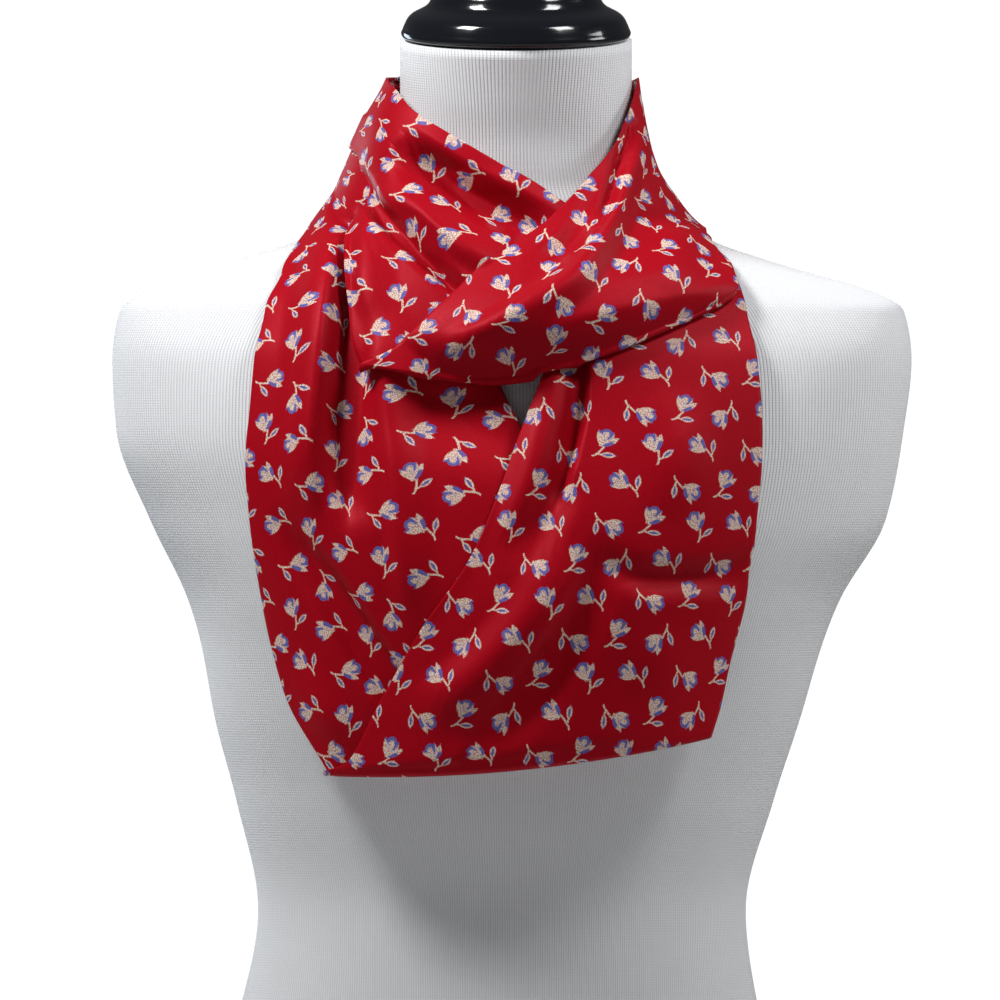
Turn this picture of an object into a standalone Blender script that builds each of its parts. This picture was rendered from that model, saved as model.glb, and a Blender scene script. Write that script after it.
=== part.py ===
"""An infinity scarf wound twice round the neck of a limbless dress form.

The scarf is one closed band of printed satin, a flat tube whose two long edges are folds. It makes a long
loop down to the bust and a short loop over it. Each loop's front is folded once at its bottom, so an under
stretch comes down from the left shoulder and a top stretch goes up to the right one. Left and right are
those of someone who looks at the front. X is right, Y is back, Z is up, and the form stands on Z = 0.

Every stretch is laid on a drape surface, an upright run of rounded rings that goes round the neck, over
the slope of the shoulders and down the chest. A point of cloth has a turn round the form's upright axis,
a height, and a lift outwards from the drape surface. Sizes are millimetres until a mesh is made.
"""
import math
from collections import namedtuple

import bmesh
import bpy
import numpy as np
from mathutils import Vector

MM = 0.001

# Cloth sizes
WALL = 1.6                 # both layers of the flat tube, with the air between them
SEAM_GAP = 0.3             # between two stretches that meet
MM_PER_SECTION = 25.0      # about how far apart the sections below stand along the band
PLEATS = 3                 # gathers across the band behind the neck
RIDGE = 999.0              # an edge that lies on the ridge of the shoulder, at a quarter turn
FRONT_FACES = 14           # across each front stretch, and a few more on the folded short loop
SHORT_LOOP_FACES = 16
NAPE_FACES = 18

# Dress form sizes
NECK_TILT = 6.5            # degrees, the neck's top leans forward
FORM_SIDES = 44
FORM_RINGS = 32
CAP_SIDES = 32
CAP_GAP = 0.3

# Rings of the padded form, from the flat base to the top of the neck. The four reaches run from the upright
# axis. The photographed form leans a little, so its left and right reaches differ.
FormRing = namedtuple("FormRing", "height left right front back squareness tilt")
FORM_TABLE = [
    FormRing(0, 166, 152, 91, 115, 2.2, 0),
    FormRing(7, 172, 158, 96, 121, 2.2, 0),
    FormRing(40, 174, 160, 97, 122, 2.2, 0),
    FormRing(95, 160, 148, 94, 109, 2.2, 0),
    FormRing(145, 134, 123.5, 90, 86, 2.2, 0),
    FormRing(190, 126, 118, 88, 72, 2.2, 0),
    FormRing(245, 137, 132, 98, 76, 2.2, 0),
    FormRing(285, 147.5, 145, 108, 84, 2.2, 0),
    FormRing(325, 155, 157, 117, 91, 2.2, 0),
    FormRing(345, 161, 165, 120, 94, 2.2, 0),
    FormRing(385, 180, 188, 117, 98, 2.2, 0),
    FormRing(430, 197, 197, 107, 100, 2.3, 0),
    FormRing(465, 199, 201, 96, 98, 2.3, 0),
    FormRing(490, 195, 197, 84, 94, 2.05, 0),
    FormRing(500, 182, 180, 78, 91, 1.9, 0),
    FormRing(510, 153, 145, 72, 87, 1.75, 0),
    FormRing(517.5, 129, 121, 67, 84, 1.75, 0),
    FormRing(523, 111, 105, 63, 81, 1.8, 0),
    FormRing(532, 88, 89, 58, 77, 1.9, 0),
    FormRing(542, 73, 78, 54, 73, 2.0, 0),
    FormRing(555, 63, 69, 52, 69, 2.0, 0.7),
    FormRing(572, 57, 63, 52, 65, 2.0, 2),
    FormRing(600, 55, 61, 55.5, 58.5, 2.0, 4.5),
    FormRing(625, 55, 61, 60, 53, 2.0, NECK_TILT),
]

# The turned cap, from its underside to its crown: radius and height on its own axis.
CapPoint = namedtuple("CapPoint", "radius height")
CAP_PROFILE = [
    CapPoint(50.0, 0.0),
    CapPoint(54.5, 0.8),
    CapPoint(57.0, 2.6),
    CapPoint(57.6, 5.0),
    CapPoint(56.6, 7.8),
    CapPoint(53.8, 10.4),
    CapPoint(50.2, 12.6),
    CapPoint(47.2, 14.4),
    CapPoint(44.8, 16.4),
    CapPoint(42.6, 18.6),
    CapPoint(40.6, 20.8),
    CapPoint(38.5, 24.5),
    CapPoint(35.5, 28.5),
    CapPoint(30.0, 32.0),
    CapPoint(22.0, 34.4),
    CapPoint(12.0, 35.8),
]
CAP_CROWN = 36.2

# Rings of the drape surface, which is the middle of the innermost cloth.
DrapeRing = namedtuple("DrapeRing", "height left right front back squareness")
DRAPE_TABLE = [
    DrapeRing(240, 140, 136, 121.5, 80, 2.2),
    DrapeRing(300, 153, 154, 124, 90, 2.2),
    DrapeRing(345, 165, 168, 125, 97, 2.2),
    DrapeRing(385, 184, 192, 122, 101, 2.2),
    DrapeRing(430, 201, 201, 112, 103, 2.3),
    DrapeRing(465, 203, 205, 101, 101, 2.3),
    DrapeRing(490, 199, 201, 89, 98, 2.05),
    DrapeRing(510, 160, 152, 78, 93, 1.8),
    DrapeRing(520, 126, 119, 72.5, 90, 1.8),
    DrapeRing(530, 101, 95, 68, 87, 1.85),
    DrapeRing(545, 87, 80.5, 62, 81, 1.95),
    DrapeRing(560, 78, 70.5, 58, 75, 2.0),
    DrapeRing(580, 68, 65, 57, 69, 2.0),
    DrapeRing(600, 60, 63, 60, 65, 2.0),
    DrapeRing(620, 57.5, 62.5, 65, 61, 2.0),
]

# One row for each section across the band, as seen from the front. Edge a and edge b keep their letters all
# the way round: a is the long loop's left outline and the short loop's neck edge. across is X, or RIDGE for
# the shoulder's ridge. lift stands the cloth off the drape surface, bow adds to it in the middle of the
# section, sag lowers the section's middle, and gather is how deep its pleats are.
Section = namedtuple("Section", "a_across a_height b_across b_height a_lift b_lift bow sag gather")
LOWER_LEFT = [
    Section(-RIDGE, 531, -RIDGE, 590, 0, 0, 0.8, 0, 0.4),
    Section(-112.5, 512, -55, 580, 0, 0, 1.5, 0, 0.4),
    Section(-120, 495, -46, 550, 0, 0.5, 2.5, 0, 0.3),
    Section(-126, 470, -33, 515, 0.3, 1, 3, 0, 0),
    Section(-130, 430, -14, 470, 0.5, 1.5, 4, 0, 0),
    Section(-129.5, 390, 6, 430, 0.5, 2, 4, 0, 0),
    Section(-123, 345, 38, 379, 1, 2, 4, 1, 0),
    Section(-112, 300, 72, 325, 2, 2, 3, 3, 0),
    Section(-93.5, 262.5, 98, 279, 2.5, 2, 1.5, 5, 0),
]
LOWER_RIGHT = [
    Section(-75, 273.5, 104, 292, 8, 4, 5, 4, 0),
    Section(-61, 300, 109, 315, 9, 2.5, 6, 2, 0),
    Section(-42.5, 332.5, 116.5, 345, 9.5, 2, 7, 0, 0),
    Section(-20, 365, 121.5, 380, 9.5, 1, 6, 0, 0),
    Section(-6, 397, 124.5, 412, 9, 0.5, 5, 0, 0),
    Section(6, 430, 124.5, 440, 8, 0.5, 5, 0, 0),
    Section(15.5, 454, 122, 468, 7, 0.5, 4, 0, 0),
    Section(27.5, 485, 116.5, 493, 5, 0, 2.5, 0, 0),
    Section(42, 530, 107, 516, 2, 0, 1.4, 0, 0.3),
    Section(55, 562, 101, 522, 0.5, 0, 1, 0, 0.4),
    Section(RIDGE, 590, RIDGE, 529, 0, 0, 0.8, 0, 0.4),
]
UPPER_LEFT = [
    Section(-RIDGE, 606, -RIDGE, 575, 1, 3.2, 1.2, 0, 0.5),
    Section(-57.5, 600, -76, 570, 1, 4.5, 2.5, 0, 0.4),
    Section(-49, 589.5, -74, 560, 2, 6, 4, 0, 0.2),
    Section(-35, 580, -71, 549, 3, 7.5, 6, 0, 0),
    Section(-17.5, 569.5, -78, 534, 4, 8.5, 6, 0, 0),
    Section(0, 559.5, -81.5, 516, 4.5, 9, 6.5, 3, 0),
    Section(23, 545.5, -80, 494, 5.3, 9.5, 7.5, 9, 0),
    Section(65, 519, -77.5, 471.5, 5.8, 10, 9, 15, 0),
    Section(110.5, 497, -72.5, 459.5, 4.6, 10, 10.5, 21, 0),
]
UPPER_RIGHT = [
    Section(113, 500, -62, 466, 7.5, 17, 14.5, 17, 0),
    Section(113, 504, -48, 479, 7, 20, 14, 11, 0),
    Section(111.5, 508, -34, 492.5, 6.5, 21.5, 12, 6, 0),
    Section(109.5, 511.5, -17, 508.5, 6, 20.5, 10, 3, 0),
    Section(107, 515, 0, 520.5, 5, 18.5, 9, 1, 0),
    Section(104.5, 518, 17.5, 533, 4, 15.5, 7.5, 0, 0),
    Section(102.5, 520.5, 30, 545, 3.5, 11.5, 5.5, 0, 0),
    Section(100.5, 522.8, 44, 561, 3, 7.5, 4, 0, 0),
    Section(99, 524.5, 55.5, 577, 2.7, 4.5, 3.5, 0, 0.3),
    Section(97.5, 526.5, 60.5, 592, 2.5, 2.5, 2.8, 0, 0.5),
    Section(RIDGE, 529, RIDGE, 606, 2.4, 1.2, 2.2, 0, 0.6),
]

# The same section with its edges placed by their turn round the upright axis and their height on the drape
# surface.
Placed = namedtuple("Placed", "a_turn a_height b_turn b_height a_lift b_lift bow sag gather")

# How the cloth turns under at the bottom of each loop: the radius at edge a, at edge b, and more of it in
# the middle.
Turn = namedtuple("Turn", "a_radius b_radius bow")
LOWER_TURN = Turn(2.2, 1.6, 1.6)
UPPER_TURN = Turn(1.6, 2.2, 2.4)
QUARTER_ANGLES = [0.55, 1.08]      # radians from the flat cloth, the rows between it and the lowest line
ANGLE_PAST = 2.1                   # a row past the lowest line, for the slope there

# Behind the neck a section is placed by its turn, in degrees from the front by way of the right shoulder,
# and by its edges' heights on the drape surface.
NapeSection = namedtuple("NapeSection", "turn a_height b_height a_lift b_lift bow gather")
NAPE_HIGH = [
    NapeSection(115, 596, 538, 0, 0, 1.5, 0.8),
    NapeSection(140, 601, 549, 0.5, 1, 2, 1.4),
    NapeSection(162, 606, 561, 2.5, 3, 2, 2.4),
    NapeSection(180, 608, 566, 5, 4.5, 2.5, 3.4),
    NapeSection(198, 608, 563, 7, 9.5, 3, 2.4),
    NapeSection(220, 607, 560, 6, 9, 3.5, 2.0),
    NapeSection(245, 606, 568, 3, 6, 2.5, 1.0),
]
NAPE_LOW = [
    NapeSection(115, 526, 598, 3, 3.5, 4, 1.0),
    NapeSection(140, 520, 588, 5, 8, 4.5, 1.6),
    NapeSection(162, 516, 573, 6, 11.5, 4, 2.0),
    NapeSection(180, 515, 562, 5, 5.5, 4, 3.6),
    NapeSection(198, 516, 567, 3, 2, 3, 2.2),
    NapeSection(220, 519, 577, 1, 0.5, 2, 1.4),
    NapeSection(245, 525, 585, 0, 0, 1.5, 0.8),
]

# The largest folds, as seen from the front: the places that each runs through, how far it spreads to its
# left and to its right as it goes, and its height there. A trough is negative.
Fold = namedtuple("Fold", "places left_spread right_spread heights")
LOWER_LEFT_FOLDS = [
    Fold([(-82, 515), (-85, 458), (-87, 400)], 10, 14, [-1, -3, 0]),
    Fold([(-106, 500), (-107, 450), (-104, 390)], 16, 16, [0, 3, 0]),
    Fold([(-64, 440), (-60, 400), (-50, 360)], 16, 16, [0, 3, 0]),
]
LOWER_RIGHT_FOLDS = [
    Fold([(42, 470), (31, 425), (22, 390)], 8, 8, [-2, -5, 0]),
    Fold([(52, 470), (30, 395), (-20, 318), (-58, 285)], 16, 14, [1, 4, 3, 0]),
    Fold([(30, 350), (12, 308), (-14, 280)], 18, 18, [0, -3, 0]),
    Fold([(62, 362), (90, 358), (114, 362)], 12, 12, [0, -2, 0]),
]
UPPER_LEFT_FOLDS = [
    Fold([(-62, 575), (-48, 545), (-28, 524), (-5, 512)], 12, 8, [0, 3, 3, 0]),
    Fold([(-50, 574), (-20, 554), (12, 538)], 13, 13, [0, -3, 0]),
    Fold([(-68, 548), (-50, 525), (-22, 500)], 8, 10, [-3, -6, 0]),
]
UPPER_RIGHT_FOLDS = [
    Fold([(58, 575), (52, 552), (43, 524)], 7, 7, [0, -3, 0]),
    Fold([(66, 575), (60, 548), (40, 512), (-15, 484)], 12, 12, [0, 4, 5, 0]),
]

CLOTH_COLOUR = (0.42, 0.004, 0.012, 1)
FORM_COLOUR = (0.74, 0.75, 0.78, 1)
CAP_COLOUR = (0.006, 0.007, 0.01, 1)


def remove_old_objects():
    for old in list(bpy.data.objects):
        bpy.data.objects.remove(old)


def smooth_between(stations, values, at):
    """A curve through the values that never overshoots them, read at the given stations."""
    x, y, at = (np.asarray(v, float) for v in (stations, values, at))
    gap = np.diff(x)
    slope = np.diff(y) / gap
    rate = np.zeros(len(x))
    same_way = slope[1:] * slope[:-1] > 0
    before, after = gap[:-1], gap[1:]
    w1, w2 = 2 * after + before, after + 2 * before
    safe = np.where(same_way, slope[:-1], 1), np.where(same_way, slope[1:], 1)
    rate[1:-1] = np.where(same_way, (w1 + w2) / (w1 / safe[0] + w2 / safe[1]), 0)
    rate[0], rate[-1] = slope[0], slope[-1]
    k = np.clip(np.searchsorted(x, at) - 1, 0, len(gap) - 1)
    t = np.clip((at - x[k]) / gap[k], 0, 1)
    h00, h10 = (1 + 2 * t) * (1 - t) ** 2, t * (1 - t) ** 2
    h01, h11 = t * t * (3 - 2 * t), t * t * (t - 1)
    return h00 * y[k] + h10 * gap[k] * rate[k] + h01 * y[k + 1] + h11 * gap[k] * rate[k + 1]


def read_table(table, stations, at):
    """Every column of a table, smoothed and read at the given stations, under its column's name."""
    return {name: smooth_between(stations, [getattr(row, name) for row in table], at)
            for name in table[0]._fields}


def arc(v):
    """0 at both edges of the band and 1 in its middle."""
    return 4 * v * (1 - v)


def reach(turn, ring):
    """How far a rounded ring lies from the upright axis, at a turn from the front in radians."""
    across = np.where(np.sin(turn) < 0, ring["left"], ring["right"])
    along = np.where(np.cos(turn) > 0, ring["front"], ring["back"])
    n = ring["squareness"]
    return ((abs(np.sin(turn)) / across) ** n + (abs(np.cos(turn)) / along) ** n) ** (-1 / n)


def drape_frame(turn, height):
    """A place on the drape surface, the direction out of it there and the way down it."""
    def surface(turn, height):
        r = reach(turn, read_table(DRAPE_TABLE, [row.height for row in DRAPE_TABLE], height))
        return np.stack([r * np.sin(turn), -r * np.cos(turn), height], -1)
    turn, height = np.broadcast_arrays(turn, height)
    sideways = surface(turn + 0.01, height) - surface(turn - 0.01, height)
    downwards = surface(turn, height - 1) - surface(turn, height + 1)
    out = np.cross(downwards, sideways)
    unit = lambda vectors: vectors / np.linalg.norm(vectors, axis=-1, keepdims=True)
    return surface(turn, height), unit(out), unit(downwards)


def drape_point(turn, height, lift):
    place, out, _ = drape_frame(turn, height)
    return place + lift[..., None] * out


def seen_place(across, seen_height, lift):
    """The turns and drape heights that put cloth of this lift where it is seen from the front."""
    height = seen_height.copy()
    ridge = abs(across) == RIDGE
    for _ in range(10):
        low, high = np.full(len(across), -math.pi / 2), np.full(len(across), math.pi / 2)
        for _ in range(30):
            turn = (low + high) / 2
            short = drape_point(turn, height, lift)[:, 0] < across
            low, high = np.where(short, turn, low), np.where(short, high, turn)
        turn = np.where(ridge, np.sign(across) * math.pi / 2, turn)
        height += seen_height - drape_point(turn, height, lift)[:, 2]
    return turn, height


def fold_lift(folds, x, z):
    """The height that the folds add at places seen from the front."""
    total = np.zeros_like(x)
    for fold in folds:
        stations = np.arange(len(fold.places))
        along = np.linspace(0, stations[-1], 12 * stations[-1] + 1)
        line_x = smooth_between(stations, [p[0] for p in fold.places], along)
        line_z = smooth_between(stations, [p[1] for p in fold.places], along)
        height = smooth_between(stations, fold.heights, along)
        away_x, away_z = x[..., None] - line_x, z[..., None] - line_z
        nearest = np.argmin(away_x ** 2 + away_z ** 2, -1)
        pick = lambda values: np.take_along_axis(values, nearest[..., None], -1)[..., 0]
        dx, dz = pick(away_x), pick(away_z)
        side = np.gradient(line_x)[nearest] * dz - np.gradient(line_z)[nearest] * dx
        spread = np.where(side > 0, fold.right_spread, fold.left_spread)
        share = np.clip(np.hypot(dx, dz) / spread, 0, 1)
        total += height[nearest] * (1 + np.cos(math.pi * share)) / 2
    return total


def gather_wave(v):
    """The pleats across the band, uneven in depth, tucked inwards at both edges."""
    return -np.cos(2 * math.pi * PLEATS * v) * (1 + 0.25 * np.sin(2 * math.pi * (v + 0.1)))


def placed(sections, more_turn=0.0):
    """Sections seen from the front, with their edges placed by turn and height instead."""
    column = {name: np.array([getattr(s, name) for s in sections], float) for name in Section._fields}
    a_turn, a_height = seen_place(column["a_across"], column["a_height"], column["a_lift"])
    b_turn, b_height = seen_place(column["b_across"], column["b_height"], column["b_lift"])
    column |= {"a_turn": a_turn + more_turn, "a_height": a_height,
               "b_turn": b_turn + more_turn, "b_height": b_height}
    return [Placed(*(column[name][k] for name in Placed._fields)) for k in range(len(sections))]


def placed_nape(sections):
    return [Placed(math.radians(s.turn), s.a_height, math.radians(s.turn), s.b_height,
                   s.a_lift, s.b_lift, s.bow, 0, s.gather) for s in sections]


def after_fold(last, turned):
    """The section that a top stretch starts with, on the other side of a bottom fold."""
    return last._replace(a_turn=last.a_turn - 2 * math.pi, b_turn=last.b_turn - 2 * math.pi,
                         a_lift=last.a_lift + 2 * turned.a_radius,
                         b_lift=last.b_lift + 2 * turned.b_radius, bow=last.bow + 2 * turned.bow)


def folded_edge(turn, height, lift, turned, v, outwards):
    """Rows that carry the band half way round its bottom fold, and one row past that."""
    place, out, down = drape_frame(turn, height)
    radius = (turned.a_radius + (turned.b_radius - turned.a_radius) * v + turned.bow * arc(v))[:, None]
    lowest = math.pi / 2 - SEAM_GAP / 2 / radius
    side = 1 if outwards else -1
    return np.array([place + radius * np.sin(angle) * down
                     + (lift[:, None] + side * radius * (1 - np.cos(angle))) * out
                     for angle in [*QUARTER_ANGLES, lowest, ANGLE_PAST]])


def stretch(sections, first, last, along, across, folds=(), turned=None):
    """The middle surface of the band between two sections, with a row beyond each end for the slope there.

    turned is given where the stretch starts or ends at a bottom fold."""
    whole = np.arange(len(sections))
    step = (last - first) / along
    u = first + step * np.arange(-1, along + 2)
    u[1] += SEAM_GAP / 2 / MM_PER_SECTION
    u[-2] -= SEAM_GAP / 2 / MM_PER_SECTION
    starts_folded, ends_folded = first == 0, last == whole[-1]
    if starts_folded:
        u = np.append(first, u[2:])
    if ends_folded:
        u = np.append(u[:-2], last)
    line = {name: column[:, None] for name, column in read_table(sections, whole, u).items()}
    v = np.linspace(0, 1, across + 1)[None, :]
    turn = line["a_turn"] + (line["b_turn"] - line["a_turn"]) * v
    height = line["a_height"] + (line["b_height"] - line["a_height"]) * v - line["sag"] * arc(v)
    lift = line["a_lift"] + (line["b_lift"] - line["a_lift"]) * v + line["bow"] * arc(v)
    lift = lift + line["gather"] * gather_wave(v)
    flat = drape_point(turn, height, lift)
    from_ends = np.minimum(u - first, last - u)[:, None]
    raised = lift + np.clip(from_ends, 0, 1) * fold_lift(folds, flat[..., 0], flat[..., 2])
    points = drape_point(turn, height, np.maximum(raised, 0))
    if ends_folded:
        edge = folded_edge(turn[-1], height[-1], lift[-1], turned, v[0], True)
        points = np.concatenate([points, edge])
    if starts_folded:
        edge = folded_edge(turn[0], height[0], lift[0], turned, v[0], False)
        points = np.concatenate([edge[::-1], points])
    return points


def square_to(points):
    """The direction square to a grid of points, at each point."""
    along, across = np.gradient(points, axis=0), np.gradient(points, axis=1)
    normal = np.cross(along, across)
    return normal / np.linalg.norm(normal, axis=-1, keepdims=True)


def material(name, colour, roughness, metallic=0.0):
    made = bpy.data.materials.new(name)
    made.use_nodes = True
    shader = made.node_tree.nodes["Principled BSDF"]
    shader.inputs["Base Color"].default_value = colour
    shader.inputs["Roughness"].default_value = roughness
    shader.inputs["Metallic"].default_value = metallic
    return made


def mesh_object(name, points, faces, look):
    """One closed body in metres, shaded smooth, with its faces pointing out."""
    mesh = bpy.data.meshes.new(name)
    mesh.from_pydata([tuple(p) for p in np.asarray(points) * MM], [], faces)
    shape = bmesh.new()
    shape.from_mesh(mesh)
    bmesh.ops.recalc_face_normals(shape, faces=shape.faces)
    shape.to_mesh(mesh)
    shape.free()
    mesh.shade_smooth()
    mesh.set_sharp_from_angle(angle=math.radians(50))
    mesh.materials.append(look)
    made = bpy.data.objects.new(name, mesh)
    bpy.context.scene.collection.objects.link(made)
    return made


def cloth_wall(name, middle, look):
    """Gives a grid of points the cloth's thickness and closes it round its rim. The rows past its ends go."""
    half = square_to(middle)[1:-1] * WALL / 2
    middle = middle[1:-1]
    rows, columns = middle.shape[:2]
    points = np.concatenate([(middle + half).reshape(-1, 3), (middle - half).reshape(-1, 3)])
    at = np.arange(2 * rows * columns).reshape(2, rows, columns)
    faces = []
    for i in range(rows - 1):
        for j in range(columns - 1):
            faces.append((at[0, i, j], at[0, i + 1, j], at[0, i + 1, j + 1], at[0, i, j + 1]))
            faces.append((at[1, i, j], at[1, i, j + 1], at[1, i + 1, j + 1], at[1, i + 1, j]))
    there = [(i, 0) for i in range(rows)] + [(rows - 1, j) for j in range(1, columns - 1)]
    back = [(rows - 1 - i, columns - 1) for i in range(rows)] + [(0, j) for j in range(columns - 2, 0, -1)]
    rim = there + back
    for one, following in zip(rim, rim[1:] + rim[:1]):
        faces.append((at[0][one], at[1][one], at[1][following], at[0][following]))
    return mesh_object(name, points, faces, look)


def form_rings():
    """The padded form's rings, each an array of points round the axis, from the base up."""
    stations = np.arange(len(FORM_TABLE))
    at = np.concatenate([[0, 0.5], np.linspace(1, stations[-1], FORM_RINGS - 2)])
    table = read_table(FORM_TABLE, stations, at)
    rings = []
    for k in range(len(at)):
        ring = {name: column[k] for name, column in table.items()}
        step = 2 * math.pi * np.arange(FORM_SIDES) / FORM_SIDES
        half_width = (ring["left"] + ring["right"]) / 2
        half_depth = (ring["front"] + ring["back"]) / 2
        turn = np.arctan2(half_width * np.sin(step), half_depth * np.cos(step))
        r = reach(turn, ring)
        middle = (ring["back"] - ring["front"]) / 2
        tilt = math.radians(ring["tilt"])
        depth = -r * np.cos(turn) - middle
        rings.append(np.stack([r * np.sin(turn), middle + depth * math.cos(tilt),
                               ring["height"] + depth * math.sin(tilt)], -1))
    return rings


def lofted(rings):
    """Points and faces of a body through the rings, closed flat at both ends."""
    sides = len(rings[0])
    faces = [tuple(range(sides))]
    for k in range(len(rings) - 1):
        for s in range(sides):
            low, high, after = k * sides, (k + 1) * sides, (s + 1) % sides
            faces.append((low + s, low + after, high + after, high + s))
    faces.append(tuple(range((len(rings) - 1) * sides, len(rings) * sides)))
    return np.concatenate(rings), faces


def neck_cap(look):
    """The turned cap, spun on its own axis and set on the neck's sloping top."""
    top = FORM_TABLE[-1]
    step = 2 * math.pi * np.arange(CAP_SIDES) / CAP_SIDES
    rings = [np.stack([p.radius * np.cos(step), p.radius * np.sin(step), np.full(CAP_SIDES, p.height)], -1)
             for p in CAP_PROFILE]
    points, faces = lofted(rings)
    crown = len(points)
    points = np.concatenate([points, [[0, 0, CAP_CROWN]]])
    last = faces.pop()
    faces += [(last[s], last[(s + 1) % CAP_SIDES], crown) for s in range(CAP_SIDES)]
    cap = mesh_object("neck_cap", points, faces, look)
    tilt = math.radians(top.tilt)
    cap.rotation_euler = (tilt, 0, 0)
    cap.location = Vector(((top.right - top.left) / 2, (top.back - top.front) / 2 - CAP_GAP * math.sin(tilt),
                           top.height + CAP_GAP * math.cos(tilt))) * MM
    return cap


def stand_on_origin():
    """Moves everything so that the middle of the whole object's base is the origin."""
    bpy.context.view_layer.update()
    made = [o for o in bpy.context.scene.objects if o.type == "MESH"]
    corners = np.array([o.matrix_world @ v.co for o in made for v in o.data.vertices])
    middle = (corners.min(axis=0) + corners.max(axis=0)) / 2
    for o in made:
        o.location -= Vector((middle[0], middle[1], corners[:, 2].min()))


def build():
    remove_old_objects()
    satin = material("red_satin", CLOTH_COLOUR, 0.42)
    knit = material("pale_knit", FORM_COLOUR, 0.9)
    gloss = material("black_gloss", CAP_COLOUR, 0.08)

    points, faces = lofted(form_rings())
    mesh_object("form_torso", points, faces, knit)
    neck_cap(gloss)

    full_turn = 2 * math.pi
    lower_left, upper_left = placed(LOWER_LEFT, full_turn), placed(UPPER_LEFT, full_turn)
    first_length = ([after_fold(lower_left[-1], LOWER_TURN)] + placed(LOWER_RIGHT)
                    + placed_nape(NAPE_HIGH) + upper_left)
    second_length = ([after_fold(upper_left[-1], UPPER_TURN)] + placed(UPPER_RIGHT)
                     + placed_nape(NAPE_LOW) + lower_left)
    long_ridge, short_ridge = len(LOWER_RIGHT), len(UPPER_RIGHT)
    first_end, second_end = len(first_length) - 1, len(second_length) - 1
    high_end, low_end = first_end - len(UPPER_LEFT) + 1, second_end - len(LOWER_LEFT) + 1
    stretches = {
        "lower_right_stretch": stretch(first_length, 0, long_ridge, 30, FRONT_FACES,
                                       LOWER_RIGHT_FOLDS, LOWER_TURN),
        "nape_band_high": stretch(first_length, long_ridge, high_end, 24, NAPE_FACES),
        "upper_left_stretch": stretch(first_length, high_end, first_end, 26, SHORT_LOOP_FACES,
                                      UPPER_LEFT_FOLDS, UPPER_TURN),
        "upper_right_stretch": stretch(second_length, 0, short_ridge, 28, SHORT_LOOP_FACES,
                                       UPPER_RIGHT_FOLDS, UPPER_TURN),
        "nape_band_low": stretch(second_length, short_ridge, low_end, 24, NAPE_FACES),
        "lower_left_stretch": stretch(second_length, low_end, second_end, 28, FRONT_FACES,
                                      LOWER_LEFT_FOLDS, LOWER_TURN),
    }
    for name, middle in stretches.items():
        cloth_wall(name, middle, satin)
    stand_on_origin()


build()
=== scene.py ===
import math
from collections import namedtuple

import bpy
import numpy as np
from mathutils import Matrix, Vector


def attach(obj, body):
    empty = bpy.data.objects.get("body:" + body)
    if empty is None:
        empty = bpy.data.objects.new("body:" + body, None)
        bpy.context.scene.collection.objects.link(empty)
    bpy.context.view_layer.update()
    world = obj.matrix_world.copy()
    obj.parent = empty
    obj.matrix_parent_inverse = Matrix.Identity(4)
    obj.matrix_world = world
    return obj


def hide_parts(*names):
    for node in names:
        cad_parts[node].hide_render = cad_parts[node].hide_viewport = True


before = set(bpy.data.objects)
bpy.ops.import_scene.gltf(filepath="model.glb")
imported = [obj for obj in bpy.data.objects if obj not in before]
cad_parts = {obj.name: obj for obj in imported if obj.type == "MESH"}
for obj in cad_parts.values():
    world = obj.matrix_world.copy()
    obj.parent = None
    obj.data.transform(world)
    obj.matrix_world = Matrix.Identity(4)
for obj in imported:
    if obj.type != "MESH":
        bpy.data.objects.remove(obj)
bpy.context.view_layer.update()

# Studio
# A pale floor under the form and a white paper backdrop well behind it. Two small soft boxes stand high and
# close in front, a cool light catches the left edge from behind, and a weak one stands at the right. The
# camera is far off with a long lens, level with the chest.
FLOOR = 4.0                # half the floor's width, in metres, as all of the studio's sizes
CHEST = (0, 0, 0.45)       # what the two soft boxes are turned to
SOFT_BOX = (0.34, 0.34)


def studio_surface(name, colour, strength=0.0):
    """A matt pale surface, lit from within by strength."""
    made = bpy.data.materials.new(name)
    made.use_nodes = True
    shader = made.node_tree.nodes["Principled BSDF"]
    shader.inputs["Base Color"].default_value = colour
    shader.inputs["Roughness"].default_value = 0.9
    shader.inputs["Emission Color"].default_value = colour
    shader.inputs["Emission Strength"].default_value = strength
    return made


def flat_sheet(name, corners, look):
    """A rectangle of the studio, given by its corners."""
    mesh = bpy.data.meshes.new(name)
    mesh.from_pydata(corners, [], [(0, 1, 2, 3)])
    mesh.materials.append(look)
    made = bpy.data.objects.new(name, mesh)
    bpy.context.scene.collection.objects.link(made)


flat_sheet("floor", [(-FLOOR, -FLOOR, 0), (FLOOR, -FLOOR, 0), (FLOOR, FLOOR, 0), (-FLOOR, FLOOR, 0)],
           studio_surface("pale floor", (0.5, 0.5, 0.5, 1)))
flat_sheet("backdrop", [(-6, 40, -3), (6, 40, -3), (6, 40, 6), (-6, 40, 6)],
           studio_surface("white paper", (1, 1, 1, 1), 1.0))


def soft_box(name, place, aim, size, power, colour=(1, 1, 1)):
    """A rectangle of light, turned to its aim and hidden from the camera."""
    light = bpy.data.lights.new(name, "AREA")
    light.shape = "RECTANGLE"
    light.size, light.size_y = size
    light.energy = power
    light.color = colour
    made = bpy.data.objects.new(name, light)
    made.location = place
    made.rotation_euler = (Vector(aim) - Vector(place)).to_track_quat("-Z", "Y").to_euler()
    made.visible_camera = False
    bpy.context.scene.collection.objects.link(made)


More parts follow.
